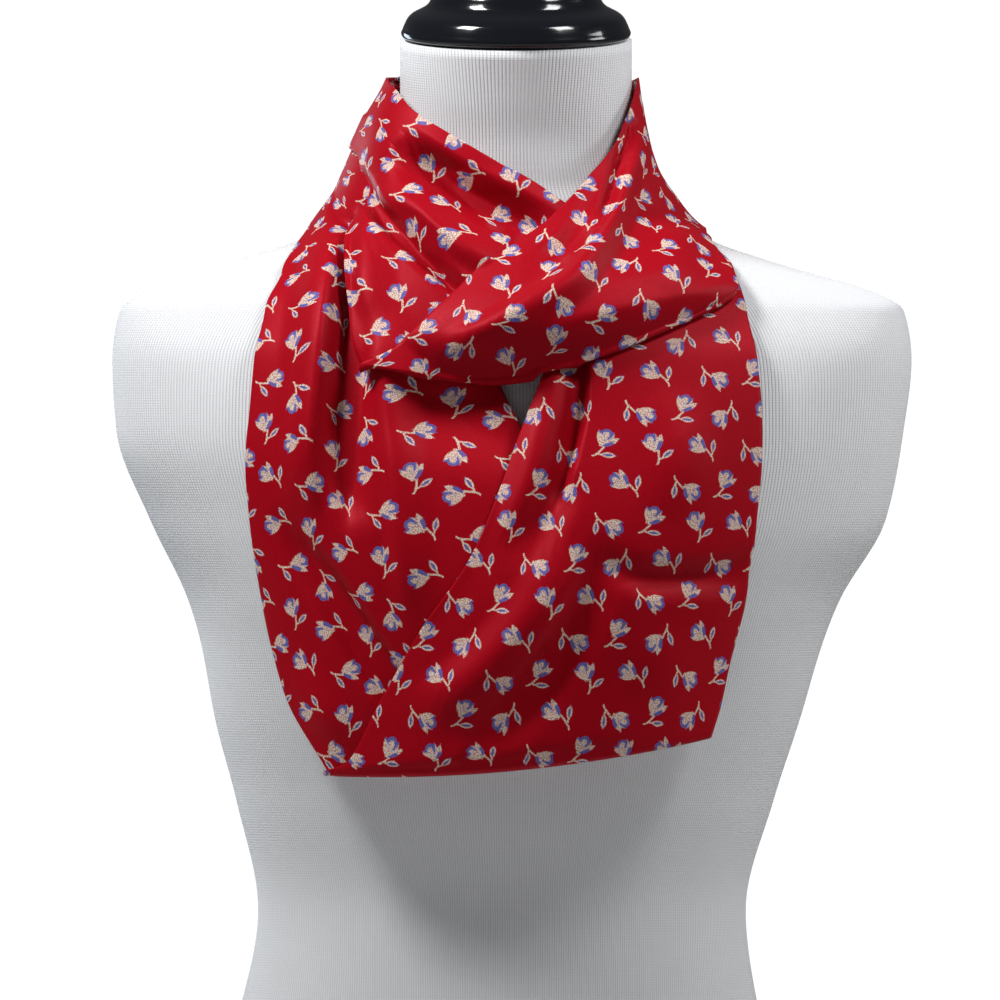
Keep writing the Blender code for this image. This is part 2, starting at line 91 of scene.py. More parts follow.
soft_box("left soft box", (-0.77, -0.45, 1.52), CHEST, SOFT_BOX, 20.5)
soft_box("right soft box", (0.735, -0.48, 1.48), CHEST, SOFT_BOX, 8.6)
soft_box("left edge light", (-1.7, 2.2, 0.55), (0, 0, 0.3), (0.8, 1.2), 17, (0.72, 0.86, 1.0))
soft_box("right side light", (1.25, 0.0, 1.0), (0, 0, 0.5), (0.4, 0.4), 4.5)

world = bpy.data.worlds.new("studio air")
world.use_nodes = True
world.node_tree.nodes["Background"].inputs["Color"].default_value = (0.97, 0.98, 1.0, 1)
world.node_tree.nodes["Background"].inputs["Strength"].default_value = 0.07
bpy.context.scene.world = world
bpy.context.scene.view_settings.view_transform = "Standard"

camera_data = bpy.data.cameras.new("camera")
camera_data.sensor_width = 36.0
camera_data.lens = 864.0
camera_data.clip_start = 1.0
camera_data.clip_end = 100.0
camera = bpy.data.objects.new("camera", camera_data)
camera.location = (-0.0058, -12.0, 0.395)
camera.rotation_euler = (math.pi / 2, 0, 0)
bpy.context.scene.collection.objects.link(camera)
bpy.context.scene.camera = camera


# Padded dress form
# A foam torso of a display form, cut off at the shoulders and the waist, under a stretched cover of pale
# ribbed knit. The ribs run up the body, close in with the waist, and start afresh round the neck.
MM = 0.001
MIDDLE = np.array([-0.81, 9.70, 0.0])      # from the sizes below, taken at the form's axis, to the row frame
KNIT_PALE = (0.85, 0.86, 0.88, 1)
# the colour of the painted shade in the grooves between the ribs
KNIT_GROOVE_SHADE = (0.50, 0.515, 0.55, 1)
RIB = 1.8                  # between two ribs of the knit
STITCH = 1.3               # between two stitches of a rib
FORM_SIDES = 160
NECK_SEAM = 545            # height at which the body's cover is sewn to the neck's, under the scarf
CHEST_GIRTH = 420          # heights of the rings that the ribs of the body and of the neck are counted round
NECK_GIRTH = 600

# Rings of the padded form, from the flat base to the top of the neck. The four reaches run from the upright
# axis.
FormRing = namedtuple("FormRing", "height left right front back squareness tilt")
FORM_TABLE = [
    FormRing(0, 166, 152, 91, 115, 2.2, 0),
    FormRing(7, 172, 158, 96, 121, 2.2, 0),
    FormRing(40, 174, 160, 97, 122, 2.2, 0),
    FormRing(95, 160, 148, 94, 109, 2.2, 0),
    FormRing(145, 134, 123.5, 90, 86, 2.2, 0),
    FormRing(190, 126, 118, 88, 72, 2.2, 0),
    FormRing(245, 137, 132, 98, 76, 2.2, 0),
    FormRing(285, 147.5, 145, 108, 84, 2.2, 0),
    FormRing(325, 155, 157, 117, 91, 2.2, 0),
    FormRing(345, 161, 165, 120, 94, 2.2, 0),
    FormRing(385, 180, 188, 117, 98, 2.2, 0),
    FormRing(430, 197, 197, 107, 100, 2.3, 0),
    FormRing(465, 199, 201, 96, 98, 2.3, 0),
    FormRing(490, 195, 197, 84, 94, 2.05, 0),
    FormRing(500, 182, 180, 78, 91, 1.9, 0),
    FormRing(510, 153, 145, 72, 87, 1.75, 0),
    FormRing(517.5, 129, 121, 67, 84, 1.75, 0),
    FormRing(523, 111, 105, 63, 81, 1.8, 0),
    FormRing(532, 88, 89, 58, 77, 1.9, 0),
    FormRing(542, 73, 78, 54, 73, 2.0, 0),
    FormRing(555, 63, 69, 52, 69, 2.0, 0.7),
    FormRing(572, 57, 63, 52, 65, 2.0, 2),
    FormRing(600, 55, 61, 55.5, 58.5, 2.0, 4.5),
    FormRing(625, 55, 61, 60, 53, 2.0, 6.5),
]


def smooth_between(stations, values, at):
    """A curve through the values that never overshoots them, read at the given stations."""
    x, y, at = (np.asarray(v, float) for v in (stations, values, at))
    gap = np.diff(x)
    slope = np.diff(y) / gap
    rate = np.zeros(len(x))
    same_way = slope[1:] * slope[:-1] > 0
    before, after = gap[:-1], gap[1:]
    w1, w2 = 2 * after + before, after + 2 * before
    safe = np.where(same_way, slope[:-1], 1), np.where(same_way, slope[1:], 1)
    rate[1:-1] = np.where(same_way, (w1 + w2) / (w1 / safe[0] + w2 / safe[1]), 0)
    rate[0], rate[-1] = slope[0], slope[-1]
    k = np.clip(np.searchsorted(x, at) - 1, 0, len(gap) - 1)
    t = np.clip((at - x[k]) / gap[k], 0, 1)
    h00, h10 = (1 + 2 * t) * (1 - t) ** 2, t * (1 - t) ** 2
    h01, h11 = t * t * (3 - 2 * t), t * t * (t - 1)
    return h00 * y[k] + h10 * gap[k] * rate[k] + h01 * y[k + 1] + h11 * gap[k] * rate[k + 1]


def read_table(table, stations, at):
    """Every column of a table, smoothed and read at the given stations, under its column's name."""
    return {name: smooth_between(stations, [getattr(row, name) for row in table], at)
            for name in table[0]._fields}


def reach(turn, ring):
    """How far a rounded ring lies from the upright axis, at a turn from the front in radians."""
    across = np.where(np.sin(turn) < 0, ring["left"], ring["right"])
    along = np.where(np.cos(turn) > 0, ring["front"], ring["back"])
    n = ring["squareness"]
    return ((abs(np.sin(turn)) / across) ** n + (abs(np.cos(turn)) / along) ** n) ** (-1 / n)


class Wire:
    """A socket of a material's nodes, so that the maths of a finish reads as plain expressions."""

    def __init__(self, tree, socket=None):
        self.tree, self.socket = tree, socket

    def node(self, kind, settings, values, output=0):
        """Any node: its settings first, then what goes into its sockets."""
        made = self.tree.nodes.new(kind)
        for name, value in settings.items():
            setattr(made, name, value)
        for place, value in values.items():
            if isinstance(value, Wire):
                self.tree.links.new(value.socket, made.inputs[place])
            else:
                made.inputs[place].default_value = value
        return Wire(self.tree, made.outputs[output])

    def maths(self, operation, *others):
        """This number and the others, put through one Math node."""
        return self.node("ShaderNodeMath", {"operation": operation}, dict(enumerate((self, *others))))

    def __add__(self, other):
        return self.maths("ADD", other)

    def __sub__(self, other):
        return self.maths("SUBTRACT", other)

    def __rsub__(self, other):
        return self.node("ShaderNodeMath", {"operation": "SUBTRACT"}, {0: other, 1: self})

    def __mul__(self, other):
        return self.maths("MULTIPLY", other)

    def __truediv__(self, other):
        return self.maths("DIVIDE", other)

    def __abs__(self):
        return self.maths("ABSOLUTE")

    __radd__ = __add__
    __rmul__ = __mul__

    def lower(self, other):
        return self.maths("MINIMUM", other)

    def higher(self, other):
        return self.maths("MAXIMUM", other)

    def inside(self, soft):
        """1 where this is below minus soft and 0 above soft, with a smooth edge between."""
        return self.node("ShaderNodeMapRange", {"interpolation_type": "SMOOTHSTEP"},
                         {0: self, 1: soft, 2: -soft})

    def parts(self):
        """The three numbers of a vector."""
        return [self.node("ShaderNodeSeparateXYZ", {}, {0: self}, k) for k in range(3)]

    def blend(self, share, other):
        """This colour, turned into the other one by the share."""
        return self.node("ShaderNodeMix", {"data_type": "RGBA"}, {0: share, 6: self, 7: other}, 2)

    def noise(self, scale, detail=2.0):
        """Soft noise from 0 to 1 over this vector."""
        return self.node("ShaderNodeTexNoise", {"noise_dimensions": "3D"},
                         {"Vector": self, "Scale": scale, "Detail": detail})


def finish_of(name, constants):
    """A new material with constants set on its shader, the shader, and a Wire to start its maths from."""
    made = bpy.data.materials.new(name)
    made.use_nodes = True
    shader = made.node_tree.nodes["Principled BSDF"]
    for place, value in constants.items():
        shader.inputs[place].default_value = value
    return made, shader, Wire(made.node_tree)


def into(shader, place, wire):
    """Joins a wire to one of the shader's sockets."""
    wire.tree.links.new(wire.socket, shader.inputs[place])


def ribbed_knit():
    """Matt pale ribs with painted shade in the grooves between them, each rib a row of small stitches."""
    made, shader, start = finish_of("pale ribbed knit", {"Roughness": 0.92, "Specular IOR Level": 0.25,
                                                         "Sheen Weight": 0.25, "Sheen Roughness": 0.5})
    x, y, _ = start.node("ShaderNodeUVMap", {"uv_map": "ribs"}, {}).parts()
    place = start.node("ShaderNodeTexCoord", {}, {}, 3)
    wobble = place.noise(9.0) - 0.5
    rib = abs((x / RIB + wobble * 0.25).maths("FRACT") - 0.5) * 2
    stitch = (y / STITCH * 2 * math.pi).maths("SINE")
    crest = (0.34 - rib).inside(0.22)
    uneven = place.noise(260.0) * 0.6 + place.noise(34.0) * 0.4
    # Painted shade: how far each groove is darkened towards the groove colour, varying along the stitches and
    # at random.
    depth = (1 - crest) * (0.45 + 0.35 * stitch.higher(-0.4)) * (0.55 + 0.8 * uneven)
    pale = start.node("ShaderNodeRGB", {}, {})
    pale.socket.default_value = KNIT_PALE
    into(shader, "Base Color", pale.blend(depth.lower(1.0), KNIT_GROOVE_SHADE))
    height = crest * (0.85 + 0.15 * stitch)
    bump = start.node("ShaderNodeBump", {}, {"Strength": 0.55, "Distance": 0.0006, "Height": height})
    into(shader, "Normal", bump)
    return made


def piece(name, points, faces, look, uv_name, uv):
    """One mesh piece in metres in the row frame, with a UV map given face corner by face corner."""
    mesh = bpy.data.meshes.new(name)
    mesh.from_pydata([tuple(p) for p in (np.asarray(points) + MIDDLE) * MM], [], faces)
    layer = mesh.uv_layers.new(name=uv_name)
    layer.data.foreach_set("uv", np.asarray(uv, np.float32).ravel())
    mesh.shade_smooth()
    mesh.materials.append(look)
    mesh.validate()
    made = bpy.data.objects.new(name, mesh)
    bpy.context.scene.collection.objects.link(made)
    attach(made, "root")
    return made


def ring_faces(rings, sides):
    """The faces between each ring of points and the next."""
    faces = []
    for k in range(rings - 1):
        low, high = k * sides, (k + 1) * sides
        for s in range(sides):
            after = (s + 1) % sides
            faces.append((low + s, low + after, high + after, high + s))
    return faces


def form_rings():
    """The heights and the rings of points of the form, closest at the base's edge and round the shoulders."""
    heights = np.concatenate([[0, 0.5, 1.2, 2.5, 4.5], np.arange(7, 480, 6.0), np.arange(480, 560, 2.5),
                              np.arange(560, 624, 4.0), [625]])
    table = read_table(FORM_TABLE, [row.height for row in FORM_TABLE], heights)
    step = 2 * math.pi * np.arange(FORM_SIDES + 1) / FORM_SIDES - math.pi
    rings = []
    for k in range(len(heights)):
        ring = {name: column[k] for name, column in table.items()}
        half_width = (ring["left"] + ring["right"]) / 2
        half_depth = (ring["front"] + ring["back"]) / 2
        turn = np.arctan2(half_width * np.sin(step), half_depth * np.cos(step))
        r = reach(turn, ring)
        middle = (ring["back"] - ring["front"]) / 2
        tilt = math.radians(ring["tilt"])
        depth = -r * np.cos(turn) - middle
        rings.append(np.stack([r * np.sin(turn), middle + depth * math.cos(tilt),
                               ring["height"] + depth * math.sin(tilt)], -1))
    return heights, rings


def girth(ring):
    """How far round the ring each of its points lies, from 0 about the middle of the front."""
    steps = np.linalg.norm(np.diff(ring[:, :2], axis=0), axis=1)
    return np.concatenate([[0], np.cumsum(steps)]) - steps.sum() / 2


def form_piece(look):
    """The whole form, closed at both ends, with the places of its ribs round the body and round the neck."""
    heights, rings = form_rings()
    chest, neck = (girth(rings[int(np.argmin(abs(heights - level)))]) for level in (CHEST_GIRTH, NECK_GIRTH))
    inner_base = [np.stack([rings[0][:, 0] * s, rings[0][:, 1] * s, rings[0][:, 2]], -1) for s in (0.01, 0.6)]
    middle = rings[-1].mean(axis=0)
    inner_top = [middle + (rings[-1] - middle) * s for s in (0.6, 0.01)]
    rows = inner_base + rings + inner_top
    row_heights = [0, 0, *heights, heights[-1], heights[-1]]
    climb = [0]
    for low, high in zip(rows[:-1], rows[1:]):
        climb.append(climb[-1] + np.linalg.norm(high - low, axis=1).mean())
    points = np.concatenate([row[:-1] for row in rows])
    faces = ring_faces(len(rows), FORM_SIDES)
    uv = []
    for k in range(len(rows) - 1):
        round_it = chest if row_heights[k] < NECK_SEAM else neck
        for s in range(FORM_SIDES):
            uv += [(round_it[s], climb[k]), (round_it[s + 1], climb[k]),
                   (round_it[s + 1], climb[k + 1]), (round_it[s], climb[k + 1])]
    last = (len(rows) - 1) * FORM_SIDES
    faces += [tuple(range(FORM_SIDES - 1, -1, -1)), tuple(range(last, last + FORM_SIDES))]
    uv += [(0, 0)] * (2 * FORM_SIDES)
    made = piece("knit_covered_form", points, faces, look, "ribs", uv)
    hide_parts("form_torso")


form_piece(ribbed_knit())


# Neck cap
# The turned cap that closes the form's neck, a wide rounded rim with a low stepped crown, finished in hard
# black gloss lacquer. It is pinned on the sloping top of the neck.
CAP_SIDES = 128
CAP_LACQUER = (0.006, 0.007, 0.010, 1)
CAP_GAP = 0.3              # between the top of the neck and the cap
CapPoint = namedtuple("CapPoint", "radius height")
CAP_PROFILE = [
    CapPoint(0.0, 0.0),
    CapPoint(30.0, 0.0),
    CapPoint(50.0, 0.0),
    CapPoint(55.0, 0.5),
    CapPoint(57.0, 1.7),
    CapPoint(57.6, 3.5),
    CapPoint(56.7, 6.0),
    CapPoint(55.6, 8.6),
    CapPoint(54.2, 11.2),
    CapPoint(51.6, 13.5),
    CapPoint(48.2, 15.3),
    CapPoint(45.4, 16.9),
    CapPoint(43.6, 18.8),
    CapPoint(42.4, 21.0),
    CapPoint(41.2, 23.6),
    CapPoint(39.0, 26.8),
    CapPoint(35.6, 29.8),
    CapPoint(30.2, 32.4),
    CapPoint(22.0, 34.4),
    CapPoint(12.0, 35.8),
    CapPoint(0.0, 36.2),
]


def turned_cap(look):
    """The profile, rounded and spun, then tilted with the neck."""
    stations = np.arange(len(CAP_PROFILE))
    line = read_table(CAP_PROFILE, stations, np.linspace(0, stations[-1], 5 * stations[-1] + 1))
    top = FORM_TABLE[-1]
    tilt = math.radians(top.tilt)
    step = 2 * math.pi * np.arange(CAP_SIDES) / CAP_SIDES
    radius, height = line["radius"][1:-1, None], line["height"][1:-1, None]
    grid = np.stack([radius * np.cos(step), radius * np.sin(step), height + 0 * step], -1).reshape(-1, 3)
    points = np.concatenate([grid, [[0, 0, 0], [0, 0, CAP_PROFILE[-1].height]]])
    across, deep, up = points.T
    deep, up = deep * math.cos(tilt) - up * math.sin(tilt), deep * math.sin(tilt) + up * math.cos(tilt)
    points = np.stack([across + (top.right - top.left) / 2,
                       deep + (top.back - top.front) / 2 - CAP_GAP * math.sin(tilt),
                       up + top.height + CAP_GAP * math.cos(tilt)], -1)
    rows = len(radius)
    faces = ring_faces(rows, CAP_SIDES)
    for s in range(CAP_SIDES):
        after = (s + 1) % CAP_SIDES
        faces.append((rows * CAP_SIDES, after, s))
        faces.append((rows * CAP_SIDES + 1, (rows - 1) * CAP_SIDES + s, (rows - 1) * CAP_SIDES + after))
    uv = [(points[v][0], points[v][1]) for face in faces for v in face]
    made = piece("lacquered_cap", points, faces, look, "plan", uv)
    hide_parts("neck_cap")


def gloss_lacquer():
    """Black lacquer with the faintest unevenness of a sprayed coat."""
    made, shader, start = finish_of("black gloss lacquer",
                                    {"Base Color": CAP_LACQUER, "Specular IOR Level": 0.5})
    place = start.node("ShaderNodeTexCoord", {}, {}, 3)
    into(shader, "Roughness", place.noise(45.0) * 0.10 + 0.06)
    into(shader, "Normal", start.node("ShaderNodeBump", {}, {"Strength": 0.06, "Distance": 0.001,
                                                             "Height": place.noise(60.0)}))
    return made


turned_cap(gloss_lacquer())


# Infinity scarf
# One closed band of printed satin, sewn as a flat tube with its long edges as folds and wound twice round the
# neck. It makes a long loop with a short loop over it, each folded once at its bottom, and it is gathered in
# small pleats behind the neck.
TUBE = 1.0                 # both layers of the flat tube, with the air between them
ACROSS = 104               # faces across the band
PER_SECTION = 8            # rows of faces between two sections of the tables below
TURNED_ROWS = 9            # rows inside each bottom fold
PLEATS = 7                 # pleats across the band behind the neck
RIDGE = 999.0              # an edge that lies on the ridge of the shoulder, at a quarter turn
FULL_TURN = 2 * math.pi
PLEAT_STEEP = 110          # steepest slope of the pleats behind the neck, in degrees
PLEAT_FULL = 46            # degrees from the nape at which the pleats begin to fade
PLEAT_NONE = 76            # and at which they are gone
FOLD_FADE = 0.7            # sections over which a stretch's folds fade out at each of its ends
LAYER_AIR = 0.5            # air between two lengths of the band where they cross
LAYER_SOFT = 1.0           # how softly one length rises over another
GRID_TURNS = 720           # cells round the drape surface, in a grid of the lift of the cloth laid so far
GRID_LOW, GRID_HIGH = 235, 625     # heights of the grid, with a cell for each millimetre
RIM_STEPS = 3              # points round each long edge of the tube
NET_STEP = 4               # rows and columns of the band to one cell of the net that unrolls it
NET_ROUNDS = 60

# Rings of the drape surface, which is the middle of the innermost cloth.
DrapeRing = namedtuple("DrapeRing", "height left right front back squareness")
DRAPE_TABLE = [
    DrapeRing(240, 140, 136, 121.5, 80, 2.2),
    DrapeRing(300, 153, 154, 124, 90, 2.2),
    DrapeRing(345, 165, 168, 125, 97, 2.2),
    DrapeRing(385, 184, 192, 122, 101, 2.2),
    DrapeRing(430, 201, 201, 112, 103, 2.3),
    DrapeRing(465, 203, 205, 101, 101, 2.3),
    DrapeRing(490, 199, 201, 89, 98, 2.05),
    DrapeRing(510, 160, 152, 78, 93, 1.8),
    DrapeRing(520, 126, 119, 72.5, 90, 1.8),
    DrapeRing(530, 101, 95, 68, 87, 1.85),
    DrapeRing(545, 87, 80.5, 62, 81, 1.95),
    DrapeRing(560, 78, 70.5, 58, 75, 2.0),
    DrapeRing(580, 68, 65, 57, 69, 2.0),
    DrapeRing(600, 60, 63, 60, 65, 2.0),
    DrapeRing(620, 57.5, 62.5, 65, 61, 2.0),
]

# One row for each section across the band, as seen from the front. Edge a and edge b keep their letters all
# the way round. lift stands the cloth off the drape surface, bow adds to it in the middle of the section, and
# sag lowers the section's middle.
Section = namedtuple("Section", "a_across a_height b_across b_height a_lift b_lift bow sag")
LOWER_LEFT = [
    Section(-RIDGE, 531, -RIDGE, 585, 0, 6, 1.5, 0),
    Section(-112.5, 512, -55, 580, 0, 2.5, 3.0, 0),
    Section(-120, 495, -46, 550, 0, 0.5, 7, 0),
    Section(-126, 470, -33, 515, 0.3, 1, 9, 0),
    Section(-130, 430, -14, 470, 0.5, 1.5, 10, 0),
    Section(-129.5, 390, 6, 430, 0.5, 2, 9, 0),
    Section(-123, 345, 38, 379, 1, 2, 8, 1),
    Section(-112, 300, 72, 325, 2, 2, 5, 3),
    Section(-90.5, 261, 98, 279, 2.5, 2, 0.5, 5),
]
LOWER_RIGHT = [
    Section(-81.5, 264, 104, 292, 8, 4, 6.5, 4),
    Section(-63, 297, 109, 315, 9, 2.5, 7, 2),
    Section(-42.5, 332.5, 116.5, 345, 9.5, 2, 8, 0),
    Section(-20, 365, 121.5, 380, 9.5, 1, 8, 0),
    Section(-6, 397, 124.5, 412, 9, 0.5, 7, 0),
    Section(6, 430, 124.5, 440, 8, 0.5, 6, 0),
    Section(15.5, 454, 122, 468, 7, 0.5, 5, 0),
    Section(27.5, 485, 116.5, 493, 5, 0, 2.5, 0),
    Section(42, 530, 107, 516, 2, 0, 1.4, 0),
    Section(55, 562, 101, 522, 0.5, 0, 1, 0),
    Section(RIDGE, 590, RIDGE, 529, 0, 0, 0.8, 0),
]
UPPER_LEFT = [
    Section(-RIDGE, 606, -RIDGE, 571, 2.5, 6.5, 2, 0),
    Section(-57.5, 600, -76, 568, 4, 6.5, 3, 0),
    Section(-49, 589.5, -74, 560, 6.5, 7.5, 4, 0),
    Section(-35, 580, -71, 549, 8.5, 8.5, 6, 0),
    Section(-17.5, 569.5, -78, 534, 9, 9.5, 7, 0),
    Section(0, 559.5, -81.5, 516, 8.5, 10, 7.5, 3),
    Section(23, 545.5, -80, 494, 7, 10, 8, 9),
    Section(65, 519, -77.5, 471.5, 5.2, 9, 7, 15),
    Section(110.5, 497, -72.5, 459.5, 3.0, 6.0, 0, 20),
]
UPPER_RIGHT = [
    Section(113, 500, -62, 466, 6.6, 13, 7, 16.5),
    Section(113, 504, -48, 479, 7, 20, 15.5, 11),
    Section(111.5, 508, -34, 492.5, 6.5, 21.5, 14.5, 6),
    Section(109.5, 511.5, -17, 508.5, 6, 20.5, 11, 3),
    Section(107, 515, 0, 520.5, 5, 18.5, 9, 1),
    Section(104.5, 518, 17.5, 533, 4, 15.5, 7.5, 0),
    Section(102.5, 520.5, 30, 545, 3.5, 11.5, 5.5, 0),
    Section(100.5, 522.8, 44, 561, 3, 7.5, 4, 0),
    Section(99, 524.5, 55.5, 577, 2.7, 4.5, 3.5, 0),
    Section(97.5, 526.5, 60.5, 592, 1.8, 2.5, 2.8, 0),
    Section(RIDGE, 530, RIDGE, 606, 1.2, 1.2, 2.2, 0),
]
Placed = namedtuple("Placed", "a_turn a_height b_turn b_height a_lift b_lift bow sag")

# Half the height of the turn at the bottom of each loop, at edge a, at edge b, and more of it in the middle.
Turn = namedtuple("Turn", "a_radius b_radius bow")
LOWER_TURN = Turn(2.2, 1.6, 1.6)
UPPER_TURN = Turn(1.6, 2.2, 0.8)

# Behind the neck a section is placed by its turn, in degrees from the front by way of the right shoulder,
# and by its edges' heights on the drape surface.
NapeSection = namedtuple("NapeSection", "turn a_height b_height a_lift b_lift bow")
NAPE_HIGH = [
    NapeSection(115, 596, 538, 0, 0, 1.5),
    NapeSection(140, 601, 549, 0.5, 1, 2),
    NapeSection(162, 606, 561, 2.5, 3, 2),
    NapeSection(180, 608, 566, 4, 3.5, 2.5),
    NapeSection(198, 608, 563, 4, 4.5, 3),
    NapeSection(220, 607, 560, 3, 4, 3.5),
    NapeSection(245, 606, 568, 3.5, 5.5, 3),
]
NAPE_LOW = [
    NapeSection(115, 526, 604, 1.2, 2, 3),
    NapeSection(140, 520, 592, 3, 4, 3),
    NapeSection(162, 516, 573, 4, 5, 3),
    NapeSection(180, 515, 562, 4, 4, 3),
    NapeSection(198, 516, 567, 3, 2, 3),
    NapeSection(220, 519, 577, 1, 0.5, 2),
    NapeSection(245, 525, 585, 0, 4, 1.5),
]

# Soft folds, as seen from the front: the places that each runs through, going down, how far it spreads to the
# left and to the right of them, its height there, and how creased it is. A trough is negative.
Fold = namedtuple("Fold", "places left_spread right_spread heights crease")
LOWER_LEFT_FOLDS = [
    Fold([(-76, 530), (-78, 500), (-81, 470), (-84, 447), (-85, 430), (-84, 410), (-79, 380)], 8, 20,
         [-6, -11, -16, -18, -18, -14, 0], 0.1),
    Fold([(-88, 530), (-90, 505), (-93, 477), (-96, 447), (-98, 420), (-96, 385)], 22, 7,
         [3, 7, 9, 9, 8, 0], 0.0),
    Fold([(-61, 500), (-61, 460), (-58, 420), (-54, 375), (-48, 330)], 10, 20, [0, 4, 5, 5, 0], 0.0),
    Fold([(-66, 449), (-40, 443), (-10, 440), (10, 441)], 36, 16, [-2, -7, -8, -6], 0.0),
    Fold([(-112, 380), (-92, 352), (-70, 318), (-56, 298)], 13, 13, [-2, -11, -15, -9], 0.2),
    Fold([(-104, 315), (-90, 288), (-80, 270)], 15, 15, [0, 3, 0], 0.0),
    Fold([(10, 420), (18, 385), (36, 350)], 14, 14, [0, -3, 0], 0.0),
]
LOWER_RIGHT_FOLDS = [
    Fold([(22, 462), (17, 440), (12, 420), (6, 398), (-4, 374)], 12, 12, [1, 3, 4, 3, 0], 0.0),
    Fold([(37, 470), (36, 442), (33, 426), (28, 408), (22, 392)], 15, 4, [-6, -9, -10, -8, 0], 0.3),
    Fold([(28, 410), (21, 394), (13, 378), (3, 360)], 17, 16, [0, -5, -4, 0], 0.1),
    Fold([(30, 372), (8, 336), (-20, 306), (-48, 286)], 18, 20, [0, 5, 6, 0], 0.0),
    Fold([(48, 380), (33, 340), (11, 305), (-16, 277)], 11, 22, [0, -5, -8, -2], 0.0),
    Fold([(40, 366), (72, 356), (100, 357), (118, 362)], 11, 11, [0, -6, -7, -3], 0.1),
    Fold([(80, 450), (84, 415), (78, 385)], 26, 24, [0, 3, 0], 0.0),
    Fold([(70, 335), (74, 315), (60, 295)], 24, 24, [0, 2, 0], 0.0),
]
UPPER_LEFT_FOLDS = [
    Fold([(-66, 548), (-47, 539), (-34, 527), (-20, 517), (0, 510)], 9, 12, [1, 6, 7, 6, 0], 0.0),
    Fold([(-58, 573), (-42, 562), (-20, 548), (4, 536), (24, 525)], 16, 14, [0, -13, -17, -14, -2], 0.0),
    Fold([(-74, 556), (-66, 541), (-50, 524), (-36, 511), (-20, 496)], 8, 6, [-5, -10, -14, -14, -6], 0.3),
    Fold([(-72, 535), (-72, 505), (-64, 478)], 10, 18, [1, 5, 1], 0.0),
]
UPPER_RIGHT_FOLDS = [
    Fold([(60, 582), (54, 560), (49, 542), (42, 522)], 7, 4, [-3, -8, -8, -1], 0.4),
    Fold([(64, 584), (57, 560), (45, 524), (28, 502), (10, 491), (-10, 480), (-34, 467)], 11, 13,
         [1, 6, 7, 7, 7, 6, 1], 0.0),
    Fold([(42, 545), (28, 522), (8, 508)], 9, 9, [0, -4, 0], 0.0),
    Fold([(96, 540), (84, 520), (72, 500)], 20, 20, [0, 3, 0], 0.0),
]


def unit(vectors):
    """The same directions, each of length 1."""
    return vectors / np.linalg.norm(vectors, axis=-1, keepdims=True)


def drape_surface(turn, height):
    """The place on the drape surface at a turn and a height."""
    r = reach(turn, read_table(DRAPE_TABLE, [row.height for row in DRAPE_TABLE], height))
    return np.stack([r * np.sin(turn), -r * np.cos(turn), height], -1)


def drape_frame(turn, height):
    """A place on the drape surface, the direction out of it there and the way down it."""
    turn, height = np.broadcast_arrays(turn, height)
    sideways = drape_surface(turn + 0.01, height) - drape_surface(turn - 0.01, height)
    downwards = drape_surface(turn, height - 1) - drape_surface(turn, height + 1)
    return drape_surface(turn, height), unit(np.cross(downwards, sideways)), unit(downwards)


def drape_point(turn, height, lift):
    """The place of cloth that stands off the drape surface by its lift."""
    place, out, _ = drape_frame(turn, height)
    return place + lift[..., None] * out


def seen_place(across, seen_height, lift):
    """The turns and drape heights that put cloth of this lift where it is seen from the front."""
    height = seen_height.copy()
    ridge = abs(across) == RIDGE
    # Each round halves its way to the turn, then mends the height. Ten are plenty.
    for _ in range(10):
        low, high = np.full(len(across), -math.pi / 2), np.full(len(across), math.pi / 2)
        for _ in range(30):
            turn = (low + high) / 2
            short = drape_point(turn, height, lift)[:, 0] < across
            low, high = np.where(short, turn, low), np.where(short, high, turn)
        turn = np.where(ridge, np.sign(across) * math.pi / 2, turn)
        height += seen_height - drape_point(turn, height, lift)[:, 2]
    return turn, height


def placed(sections, more_turn=0.0):
    """Sections seen from the front, with their edges placed by turn and height instead."""
    column = {name: np.array([getattr(s, name) for s in sections], float) for name in Section._fields}
    a_turn, a_height = seen_place(column["a_across"], column["a_height"], column["a_lift"])
    b_turn, b_height = seen_place(column["b_across"], column["b_height"], column["b_lift"])
    column |= {"a_turn": a_turn + more_turn, "a_height": a_height,
               "b_turn": b_turn + more_turn, "b_height": b_height}
    return [Placed(*(column[name][k] for name in Placed._fields)) for k in range(len(sections))]


def placed_nape(sections):
    """Sections behind the neck, in the form that the others have once they are placed."""
    return [Placed(math.radians(s.turn), s.a_height, math.radians(s.turn), s.b_height,
                   s.a_lift, s.b_lift, s.bow, 0) for s in sections]


def after_fold(last, turned):
    """The section that a top stretch starts with, on the other side of a bottom fold."""
    return last._replace(a_turn=last.a_turn - FULL_TURN, b_turn=last.b_turn - FULL_TURN,
                         a_lift=last.a_lift + 2 * turned.a_radius,
                         b_lift=last.b_lift + 2 * turned.b_radius, bow=last.bow + 2 * turned.bow)


